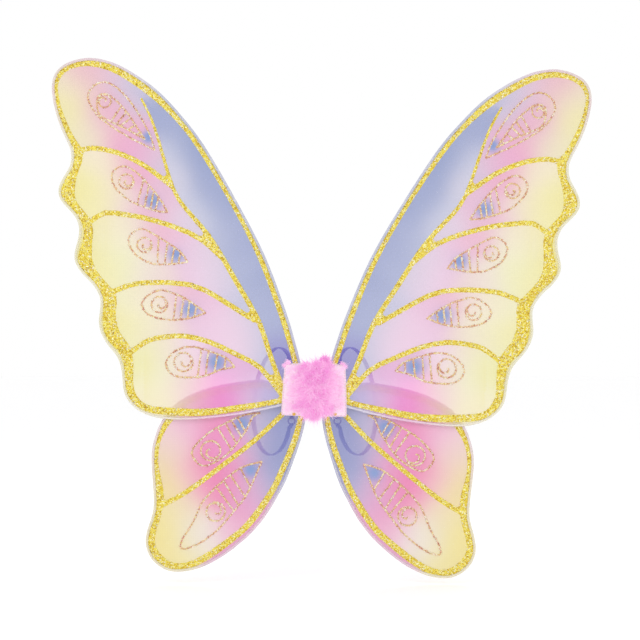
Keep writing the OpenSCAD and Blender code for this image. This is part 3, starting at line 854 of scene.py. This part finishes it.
def scatter_flakes(flat, faces, front, kind, rng):
    """Small tilted diamond plates over a drawing, which also make its edge ragged."""
    per_flake, half, overhang = kind
    a, b, c = (flat[faces[:, k]] for k in range(3))
    size = np.abs(doubled_areas(flat, faces)) / 2
    count = int(size.sum() / MM ** 2 / per_flake)
    pick = rng.choice(len(faces), count, p=size / size.sum())
    u, v = rng.random(count), rng.random(count)
    u, v = np.where(u + v > 1, 1 - u, u), np.where(u + v > 1, 1 - v, v)
    place = a[pick] + (b - a)[pick] * u[:, None] + (c - a)[pick] * v[:, None]
    place += rng.normal(0, overhang / 2, place.shape) * MM
    depth = front[faces[pick]].min(1)
    points, made = [], []
    for (x, z), y in zip(place, depth):
        turn = Matrix.Rotation(rng.uniform(-0.6, 0.6), 3, "X")
        turn = turn @ Matrix.Rotation(rng.uniform(-0.6, 0.6), 3, "Z")
        turn = turn @ Matrix.Rotation(rng.uniform(0, math.pi), 3, "Y")
        r = half * rng.uniform(0.7, 1.25) * MM
        corners = [(r, 0, 0), (0, 0, r * 0.8), (-r, 0, 0), (0, 0, -r * 0.8),
                   (0, -0.3 * r, 0), (0, 0.3 * r, 0)]
        first = len(points)
        points += [tuple(Vector((x, y, z)) + turn @ Vector(p)) for p in corners]
        for k in range(4):
            i, j = first + k, first + (k + 1) % 4
            made += [(i, j, first + 4), (j, i, first + 5)]
    return points, made


# The hem's and wire's radius, how far outside the cloth's edge they lie, and how far they
# run in under the pad, in mm
HEM_RADIUS, WIRE_RADIUS, HEM_OUT, HEM_MARGIN = 1.38, 0.95, 1.3, 2.6
HEM_SIDES = 12


def build_hem(name, flat, faces, colours, plane, seed):
    """The folded hem round the wing's edge with the wire inside it."""
    loop = max(loops_of(rim_edges(faces)), key=len)
    ring = flat[loop]
    margin = HEM_MARGIN * MM
    pad_low = np.array([PAD_LOW[0], PAD_LOW[2]]) + margin
    pad_high = np.array([PAD_HIGH[0], PAD_HIGH[2]]) - margin
    covered = ((ring > pad_low) & (ring < pad_high)).all(1)
    first = next(i for i in range(len(ring)) if covered[i - 1] and not covered[i])
    order = [(first + k) % len(ring) for k in range(len(ring))]
    order = order[:next((k for k, i in enumerate(order) if covered[i]), len(order))]
    path = ring[order]
    tints = colours[np.array(loop)[order]]
    for _ in range(3):
        path[1:-1] = (path[:-2] + 2 * path[1:-1] + path[2:]) / 4
    heading = headings(path)
    centre = path + HEM_OUT * MM * np.stack([heading[:, 1], -heading[:, 0]], axis=1)
    line = np.stack([centre[:, 0], np.full(len(centre), plane), centre[:, 1]], axis=1)
    radii = [HEM_RADIUS * MM + 0.1 * MM * wobble(p, 0.006, seed + 3) for p in centre]
    hem = make(f"{name}_hem", *tube(line, radii, HEM_SIDES), MATERIALS["hem"])
    paint(hem, np.repeat(tints * 0.65 + 0.35, HEM_SIDES, axis=0))
    wire = make(f"{name}_wire", *tube(line, [WIRE_RADIUS * MM] * len(line), 8), MATERIALS["wire"])
    return hem, wire


seed = 11
for side in SIDES:
    for wing in WINGS:
        build_wing(side, wing, seed)
        seed += 20


# ---- Centre pad ----

def box_mesh(low, high, cuts, top_share=1.0):
    """A box with its faces cut into squares, narrower at the top by top_share."""
    bm = bmesh.new()
    bmesh.ops.create_cube(bm, size=1.0)
    bmesh.ops.subdivide_edges(bm, edges=bm.edges[:], cuts=cuts, use_grid_fill=True)
    centre, size = (np.array(low) + np.array(high)) / 2, np.array(high) - np.array(low)
    for v in bm.verts:
        share = 1 + (top_share - 1) * (v.co.z + 0.5)
        v.co = Vector((v.co.x * size[0] * share, v.co.y * size[1], v.co.z * size[2]))
        v.co += Vector(centre)
    return bm


def pad_lean():
    """The pad's lean, from the slope of its bottom edge."""
    co = node_points("back_cover")
    left = co[np.argmin(co[:, 0] + co[:, 2])]
    right = co[np.argmax(co[:, 0] - co[:, 2])]
    return math.atan2(right[2] - left[2], right[0] - left[0])


LEAN = pad_lean()
TURN = Matrix.Rotation(-LEAN, 3, "Y")


def pad_size():
    """The pad's bottom width, top width and height without its lean."""
    co = np.array([TURN.inverted() @ Vector(p) for p in node_points("back_cover")])
    low, high = co.min(0), co.max(0)
    top = co[co[:, 2] > high[2] - 0.5 * MM]
    return high[0] - low[0], np.ptp(top[:, 0]), high[2] - low[2]


PAD_WIDE, PAD_TOP, PAD_TALL = pad_size()


SWELL_FRAMES = 20


def swell(obj, cap, pressure):
    """A soft piece's points before and after cloth simulation, which moves none past cap."""
    rest = np.array([v.co for v in obj.data.vertices])
    cloth = obj.modifiers.new("Cloth", "CLOTH")
    cloth.settings.use_pressure = True
    cloth.settings.uniform_pressure_force = pressure
    cloth.settings.effector_weights.gravity = 0
    cloth.settings.quality = 5
    cloth.settings.mass = 0.15
    for f in range(1, SWELL_FRAMES + 1):
        bpy.context.scene.frame_set(f)
    done = obj.evaluated_get(bpy.context.evaluated_depsgraph_get())
    moved = np.array([v.co for v in done.data.vertices])
    obj.modifiers.remove(cloth)
    bpy.context.scene.frame_set(1)
    step = moved - rest
    length = np.linalg.norm(step, axis=1)
    step *= np.minimum(1, cap / np.maximum(length, 1e-9))[:, None]
    return rest, rest + step


def cushion(name, low_y, high_y, outward, crown, seed):
    """A soft pad layer between two depths, in the pad's outline, whose outward face swells."""
    inset = 0.15 * MM
    low = (-PAD_WIDE / 2 + inset, low_y, -PAD_TALL / 2 + inset)
    high = (PAD_WIDE / 2 - inset, high_y, PAD_TALL / 2 - inset)
    bm = box_mesh(low, high, 9, (PAD_TOP - 2 * inset) / (PAD_WIDE - 2 * inset))
    obj = make_from(bm, name, MATERIALS["cover"])
    remesh = obj.modifiers.new("Remesh", "REMESH")
    remesh.mode = "VOXEL"
    remesh.voxel_size = 1.5 * MM
    done = obj.evaluated_get(bpy.context.evaluated_depsgraph_get())
    fine = bpy.data.meshes.new_from_object(done)
    obj.modifiers.remove(remesh)
    obj.data = fine
    rest, moved = swell(obj, 2.2 * MM, 4.0)
    middle = (low_y + high_y) / 2
    half_x, half_z = high[0], high[2]
    for v, r, m in zip(fine.vertices, rest, moved):
        if (r[1] - middle) * outward < 0:
            v.co = TURN @ Vector(r)
            continue
        x, y, z = r + 0.45 * (m - r)
        across = half_x * (1 + (PAD_TOP / PAD_WIDE - 1) * (r[2] + half_z) / (2 * half_z))
        u = 1 - min(1, abs(r[0]) / across)
        w = 1 - min(1, abs(r[2]) / half_z)
        rise = crown * (min(1, u * 3.2) * min(1, w * 3.2)) ** 0.5
        seam = 0.8 * MM * math.exp(-(min(u * across, w * half_z) / (1.2 * MM)) ** 2)
        crease = 0.25 * MM * wobble((x, z), 0.008, seed)
        v.co = TURN @ Vector((x, y + outward * (rise - seam + crease), z))
    fine.polygons.foreach_set("use_smooth", [True] * len(fine.polygons))
    sub = obj.modifiers.new("Subdivision", "SUBSURF")
    sub.levels = sub.render_levels = 1
    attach(obj, "root")
    return obj


front_pad = cushion("front_pad", FRONT_LOW[1] + 0.3 * MM, FRONT_HIGH[1], -1, 1.3 * MM, 3)
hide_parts("front_cover", "front_foam", "cover_stitches")
back_pad = cushion("back_pad", FRONT_HIGH[1] + 0.1 * MM, PAD_HIGH[1] - 0.5 * MM, 1, 0.7 * MM, 8)
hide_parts("back_cover", "back_felt")

PAD_TREE = BVHTree.FromObject(front_pad, bpy.context.evaluated_depsgraph_get())
BACK_TREE = BVHTree.FromObject(back_pad, bpy.context.evaluated_depsgraph_get())


def on_pad(tree, outward, x, z):
    """The point and normal that a ray meets at x, z, from the side that outward points to."""
    hit, normal, _, _ = tree.ray_cast(Vector((x, 0.1 * outward, z)), Vector((0, -outward, 0)))
    return hit, normal


def build_stitches(name, tree, outward):
    """Running stitches inside the pad's four edges, each a short sunk loop of thread."""
    points, faces = [], []
    inset = 1.3 * MM
    half_z = PAD_TALL / 2 - inset
    corners = [(-PAD_WIDE / 2 + inset, -half_z), (PAD_WIDE / 2 - inset, -half_z),
               (PAD_TOP / 2 - inset, half_z), (-PAD_TOP / 2 + inset, half_z)]
    for a, b in zip(corners, corners[1:] + corners[:1]):
        a, b = np.array(a), np.array(b)
        count = int(np.linalg.norm(b - a) / (2.9 * MM))
        for i in range(count):
            path = []
            for t in np.linspace(0.2, 0.8, 7):
                flat = a + (b - a) * (i + t) / count
                place = TURN @ Vector((flat[0], 0, flat[1]))
                hit, normal = on_pad(tree, outward, place.x, place.z)
                bow = math.sin((t - 0.2) / 0.6 * math.pi)
                path.append(np.array(hit + normal * (0.3 * bow - 0.12) * MM))
            made, rings = tube_any(path, 0.24 * MM, 6)
            faces += [tuple(i + len(points) for i in f) for f in rings]
            points += made
    obj = make(name, points, faces, MATERIALS["thread"])
    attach(obj, "root")


def tube_any(path, radius, sides):
    """A closed tube of one radius along any 3-D path."""
    points = []
    path = [Vector(p) for p in path]
    last = len(path) - 1
    side = None
    for i, p in enumerate(path):
        way = (path[min(i + 1, last)] - path[max(i - 1, 0)]).normalized()
        side = way.orthogonal() if side is None else side - way * side.dot(way)
        side.normalize()
        lift = way.cross(side)
        for k in range(sides):
            a = 2 * math.pi * k / sides
            points.append(tuple(p + radius * (side * math.cos(a) + lift * math.sin(a))))
    return points, loft(len(path), sides)


build_stitches("front_stitch_thread", PAD_TREE, -1)
build_stitches("back_stitch_thread", BACK_TREE, 1)
for node, look in (("core_board", "board"), ("wire_staples", "staple"), ("ring_studs", "brass"),
                   ("ring_tabs", "tab"), ("strap_rings", "ring"), ("strap_anchors", "elastic")):
    dress(node, look)


# ---- Fluff ----

FLUFF_COLOURS = ["f9baea", "f8aee6", "fac8ee", "f9bce8", "f6a6e4", "fbd0f0"]
FLUFF_DEEP = ["f08cdc", "ec82d6", "f49ae2"]
FLUFF_TIP = "fbe6f3"
# Places of the denser, deeper tufts, in mm on the pad
DEEP_TUFTS = [(8, 30), (12, 25), (2, 24), (-8, 22), (-13, 15), (-15, 10), (-4, 14), (3, 8),
              (-10, 2), (4, -4), (-4, -10), (14, -14), (-16, -16), (-10, -12), (0, -20), (7, 16)]
# Small tufts that stand out past the pad's edge, in mm
CORNER_TUFTS = [(-26, 27), (-29, 24), (26, 26), (29, 24), (7, 30), (12, 29), (-2, -26), (3, -26)]
# The fluff keeps this clear of the two studs, in mm
STUD_PLACES = [(-20.5, -23.8), (20.5, -23.8)]
STUD_CLEAR = 6


def build_fluff():
    """Tufts of down over the pad: each tuft leans its own way and its strands fan out of it."""
    rng = random.Random(5)
    core = make("fluff_core", *fluff_core(), MATERIALS["fluff"])
    shades = [linear("f4aee2") * (1 - t) + linear("f9d6ec") * t
              for t in (min(1, abs(v.co.x / MM - 2) / 24) for v in core.data.vertices)]
    paint(core, np.array(shades))
    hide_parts("fluff_patch")
    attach(core, "root")
    ground = [PAD_TREE, BVHTree.FromObject(core, bpy.context.evaluated_depsgraph_get())]
    tufts = [(1 + 22 * math.tanh(rng.gauss(0, 0.4)), rng.uniform(-23, 24), 1.0) for _ in range(290)]
    tufts += [(rng.uniform(-25, 26), rng.uniform(-20, 20), 0.75) for _ in range(130)]
    tufts += [(way * rng.uniform(17, 27), rng.uniform(-20, 22), 0.7)
              for way in (-1, 1) for _ in range(45)]
    tufts += [(x + rng.uniform(-2, 2), z + rng.uniform(-2, 2), 0.75)
              for x, z in DEEP_TUFTS for _ in range(5)]
    tufts += [(x, z, 0.5) for x, z in CORNER_TUFTS for _ in range(3)]
    points, faces, tints = [], [], []
    for x, z, size in tufts:
        if min(math.hypot(x - a, z - b) for a, b in STUD_PLACES) > STUD_CLEAR:
            add_tuft(rng, ground, x, z, size, points, faces, tints)
    strands = make("fluff_strands", points, faces, MATERIALS["fluff"], smooth=False)
    paint(strands, np.array(tints))
    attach(strands, "root")


def fluff_core():
    """A soft lumpy mound under the strands."""
    bm = bmesh.new()
    bmesh.ops.create_icosphere(bm, subdivisions=5, radius=1.0)
    centre = Vector((1.5 * MM, PAD_FRONT + 0.6 * MM, 0))
    for v in bm.verts:
        lump = 1 + 0.12 * noise.noise(v.co * 2.2) + 0.06 * noise.noise(v.co * 7.0)
        square = Vector((math.copysign(abs(v.co.x) ** 0.7, v.co.x), min(v.co.y, 0.1),
                         math.copysign(abs(v.co.z) ** 0.7, v.co.z)))
        v.co = centre + Vector((square.x * 23, square.y * 6, square.z * 21)) * lump * MM
    made = [tuple(v.co) for v in bm.verts]
    rings = [tuple(v.index for v in f.verts) for f in bm.faces]
    bm.free()
    return made, rings


def add_tuft(rng, ground, x, z, size, points, faces, tints):
    """One tuft of strands that starts on the pad or the mound at x, z in mm."""
    root = TURN @ Vector((x * MM, 0, z * MM))
    hits = [on_pad(tree, -1, root.x, root.z)[0] for tree in ground]
    off_pad = Vector((root.x, PAD_FRONT, root.z))
    foot = min((h for h in hits if h is not None), key=lambda h: h.y, default=off_pad)
    near = min(math.hypot(x - a, z - b) for a, b in DEEP_TUFTS)
    from_middle = x - 1
    lean = Vector((from_middle * 0.075 + rng.uniform(-0.6, 0.6), rng.uniform(-0.6, -0.25),
                   z * 0.03 + rng.uniform(-0.6, 0.6))).normalized()
    reach = rng.uniform(8, 12.5) * size * (1 if abs(from_middle) < 14 else 0.7) * MM
    base = linear(rng.choice(FLUFF_DEEP if near < 3.2 else FLUFF_COLOURS))
    fade = min(1, max(0, abs(from_middle) - 9) / 15) if size > 0.5 else 0
    base = base * (1 - 0.55 * fade) + linear(FLUFF_TIP) * 0.55 * fade
    for _ in range(28):
        way = (lean + Vector([rng.gauss(0, 0.34) for _ in range(3)])).normalized()
        way.y = min(way.y, -0.08)
        start = foot + Vector((rng.gauss(0, 1.1), 0.3, rng.gauss(0, 1.1))) * MM
        length = reach * rng.uniform(0.55, 1.1)
        bend = Vector((rng.gauss(0, 0.35), rng.gauss(0, 0.15) + 0.2, rng.gauss(-0.12, 0.35)))
        path = [start + way * length * t + bend * length * t * t * 0.6 for t in (0, 0.55, 1.0)]
        radius = rng.uniform(0.14, 0.24) * MM
        add_strand(path, radius, base * rng.uniform(0.95, 1.05), points, faces, tints)


def add_strand(path, radius, colour, points, faces, tints):
    """One flat tapered barb of down that lies with its wide side outward and ends in a point."""
    first = len(points)
    way = (path[1] - path[0]).normalized()
    outward = Vector((way.x * 0.3, -1, way.z * 0.3))
    side = way.cross(outward).normalized()
    lift = side.cross(way) * 0.35
    if lift.y > 0:
        lift = -lift
    pale = linear(FLUFF_TIP)
    for i, p in enumerate(path[:-1]):
        t = i / (len(path) - 1)
        for u, v in ((1, 0), (0, 1), (-1, 0), (0, -1)):
            points.append(tuple(p + radius * (1 - 0.7 * t) * (side * u + lift * v)))
            tints.append(np.clip(colour * (1 - 0.4 * t) + pale * 0.4 * t, 0, 1))
    points.append(tuple(path[-1]))
    tints.append(np.clip(colour * 0.6 + pale * 0.4, 0, 1))
    for i in range(len(path) - 2):
        for k in range(4):
            a, b = first + i * 4 + k, first + i * 4 + (k + 1) % 4
            faces.append((a, b, b + 4, a + 4))
    last = first + (len(path) - 2) * 4
    faces += [(last + k, last + (k + 1) % 4, len(points) - 1) for k in range(4)]
    faces.append((first + 3, first + 2, first + 1, first))


build_fluff()


# ---- Arm loops ----

# The loop's route, as in the CAD: outward from its swing axis and height, in mm
LOOP_POINTS = [(0, 27.2), (1, 34), (8, 41), (18, 41), (30, 30), (39, 12), (44, -10),
               (45, -34), (38, -56), (26, -66), (13, -62), (4, -50), (0, -36.3)]
STRAP_REST = math.radians(35)
STRAP_WIDE, STRAP_THICK = 7.0, 1.2


def smooth_path(points, step):
    """A smooth curve through points, in steps no longer than step."""
    p = [np.array(q, float) for q in points]
    p = [2 * p[0] - p[1]] + p + [2 * p[-1] - p[-2]]
    found = []
    for a, b, c, d in zip(p, p[1:], p[2:], p[3:]):
        n = max(2, round(np.linalg.norm(c - b) / step))
        for t in np.arange(n) / n:
            found.append(0.5 * (2 * b + (c - a) * t + (2 * a - 5 * b + 4 * c - d) * t ** 2
                                + (3 * b - a - 3 * c + d) * t ** 3))
    return np.array(found + [p[-2]])


def strap_section():
    """The elastic's cross-section in mm: rounded edges and woven ribs, front then back."""
    ribs, across = 6, 25
    front = []
    for i in range(across):
        u = -1 + 2 * i / (across - 1)
        edge = math.sqrt(max(0.0, 1 - max(0, abs(u) - 0.86) ** 2 / 0.14 ** 2))
        rib = 0.09 * math.cos(u * math.pi * ribs)
        front.append((u * STRAP_WIDE / 2, (STRAP_THICK / 2 - 0.1 + rib) * edge))
    return front + [(w, -t) for w, t in front[::-1][1:-1]]


def build_strap(side):
    way = -1 if side == "left" else 1
    pivot = Vector(joints[f"{side}_strap_swing"]["pos_m"])
    out = Vector((way * math.cos(STRAP_REST), math.sin(STRAP_REST), 0))
    wide = Vector((-out.y, out.x, 0)) * way
    route = smooth_path([(0, 24.2), *LOOP_POINTS], 0.9)
    section = strap_section()
    total = len(route) - 1
    points = []
    for i, (p, h) in enumerate(zip(route, headings(route))):
        normal = np.array([h[1], -h[0]])
        end = min(i, total - i) * 0.9
        narrow = 0.72 + 0.28 * min(1, end / 9)
        crimp = 1 + 0.012 * math.sin(i * 2.1)
        for w, t in section:
            flat = p + normal * t * (1.06 if i % 2 else 0.94)
            place = pivot + (out * flat[0] + wide * w * narrow * crimp) * MM
            points.append((place.x, place.y, pivot.z + flat[1] * MM))
    faces = loft(len(route), len(section))
    strap = make(f"{side}_elastic_strap", points, faces, MATERIALS["elastic"])
    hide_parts(f"{side}_arm_loop")
    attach(strap, f"{side}_strap")


def build_cuff(side):
    """The strap's lower end, folded up through its ring and sewn back on itself."""
    way = -1 if side == "left" else 1
    pivot = Vector(joints[f"{side}_strap_swing"]["pos_m"])
    ring = node_points("strap_rings")
    ring = ring[ring[:, 0] * way > 0]
    low, high = ring.min(0), ring.max(0)
    wire = (high[1] - low[1]) / 2
    x, y, z = (low[0] + high[0]) / 2, (low[1] + high[1]) / 2, low[2] + wire
    around = wire + 0.45 * MM
    turn = [(around * math.cos(a), around * math.sin(a)) for a in np.linspace(math.pi, 0, 13)]
    tail = 3.6 * MM
    route = [(-0.35 * MM, -tail), (-around * 0.95, -0.55 * tail), *turn, (around * 0.95, -0.55 * tail),
             (0.35 * MM, -tail)]
    path = np.array(route)
    points = []
    corners = [(-1, -0.5), (-0.9, -1), (0.9, -1), (1, -0.5)]
    section = corners + [(-w, -t) for w, t in corners]
    for (dy, dz), (hy, hz) in zip(path, headings(path)):
        fall = min(1, max(0, -dz / tail))
        half = (1.9 + 0.9 * fall) * MM
        centre_x = x + (pivot.x - x) * fall
        for w, t in section:
            thick = t * 0.25 * MM
            points.append((centre_x + w * half, y + dy + hz * thick, z + dz - hy * thick))
    cuff = make(f"{side}_strap_cuff", points, loft(len(path), len(section)), MATERIALS["elastic"])
    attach(cuff, "root")


for side in SIDES:
    build_strap(side)
    build_cuff(side)


# ---- Room, light and camera ----

WIDE_VIEW = 0.640
CAMERA_BACK = 2.4
VIEW_CENTRE = (5.5 * MM, 70 * MM)
ROOM_LIGHT = 0.86
# A little glow keeps the far floor as white as the room
FLOOR_GLOW = 0.16
FLOOR_DROP = 6 * MM
LIT_POINT = (0.0, 0.0, 0.07)
# Each lamp's place, size and power
LAMPS = {
    "key": ((-0.9, -1.6, 1.3), 0.9, 6.5),
    "fill": ((1.4, -1.5, 0.5), 1.2, 2.5),
    "back": ((0.3, 1.6, 1.2), 1.0, 4),
}


def build_floor():
    m = Nodes("floor")
    grain = m.noise(8, 3)
    colour = m.mix(m.range(grain, 0, 1), "fdfdfd", "fafafb")
    m.set(Emission_Color=(1, 1, 1, 1), Emission_Strength=FLOOR_GLOW)
    m.finish(colour, m.range(grain, 0.8, 0.9))
    bm = bmesh.new()
    bmesh.ops.create_circle(bm, cap_ends=True, segments=96, radius=9.0)
    floor = make_from(bm, "floor", m.material)
    floor.location.z = cad_low[2] - FLOOR_DROP


def area_light(name, spot, size, power):
    """A round lamp at spot that points at the wings' middle."""
    data = bpy.data.lights.new(name, "AREA")
    data.shape = "DISK"
    data.size = size
    data.energy = power
    light = add_object(name, data)
    light.location = spot
    light.rotation_euler = (Vector(LIT_POINT) - Vector(spot)).to_track_quat("-Z", "Y").to_euler()


def build_world():
    world = bpy.data.worlds.new("studio")
    world.use_nodes = True
    tree = world.node_tree
    shade = tree.nodes["Background"]
    shade.inputs["Color"].default_value = (1, 1, 1, 1)
    seen = tree.nodes.new("ShaderNodeLightPath")
    level = tree.nodes.new("ShaderNodeMapRange")
    level.inputs["To Min"].default_value = ROOM_LIGHT
    level.inputs["To Max"].default_value = 1.0
    tree.links.new(seen.outputs["Is Camera Ray"], level.inputs["Value"])
    tree.links.new(level.outputs[0], shade.inputs["Strength"])
    bpy.context.scene.world = world


build_floor()
build_world()
for name, (spot, size, power) in LAMPS.items():
    area_light(name, spot, size, power)
camera_data = bpy.data.cameras.new("camera")
camera_data.lens = camera_data.sensor_width * CAMERA_BACK / WIDE_VIEW
camera_data.clip_start, camera_data.clip_end = 0.05, 60
camera = add_object("camera", camera_data)
wing_plane = centre_depth("left_upper_skin")
camera.location = (VIEW_CENTRE[0], wing_plane - CAMERA_BACK, VIEW_CENTRE[1])
camera.rotation_euler = (math.pi / 2, 0, 0)
bpy.context.scene.camera = camera
bpy.context.scene.view_settings.view_transform = "Standard"
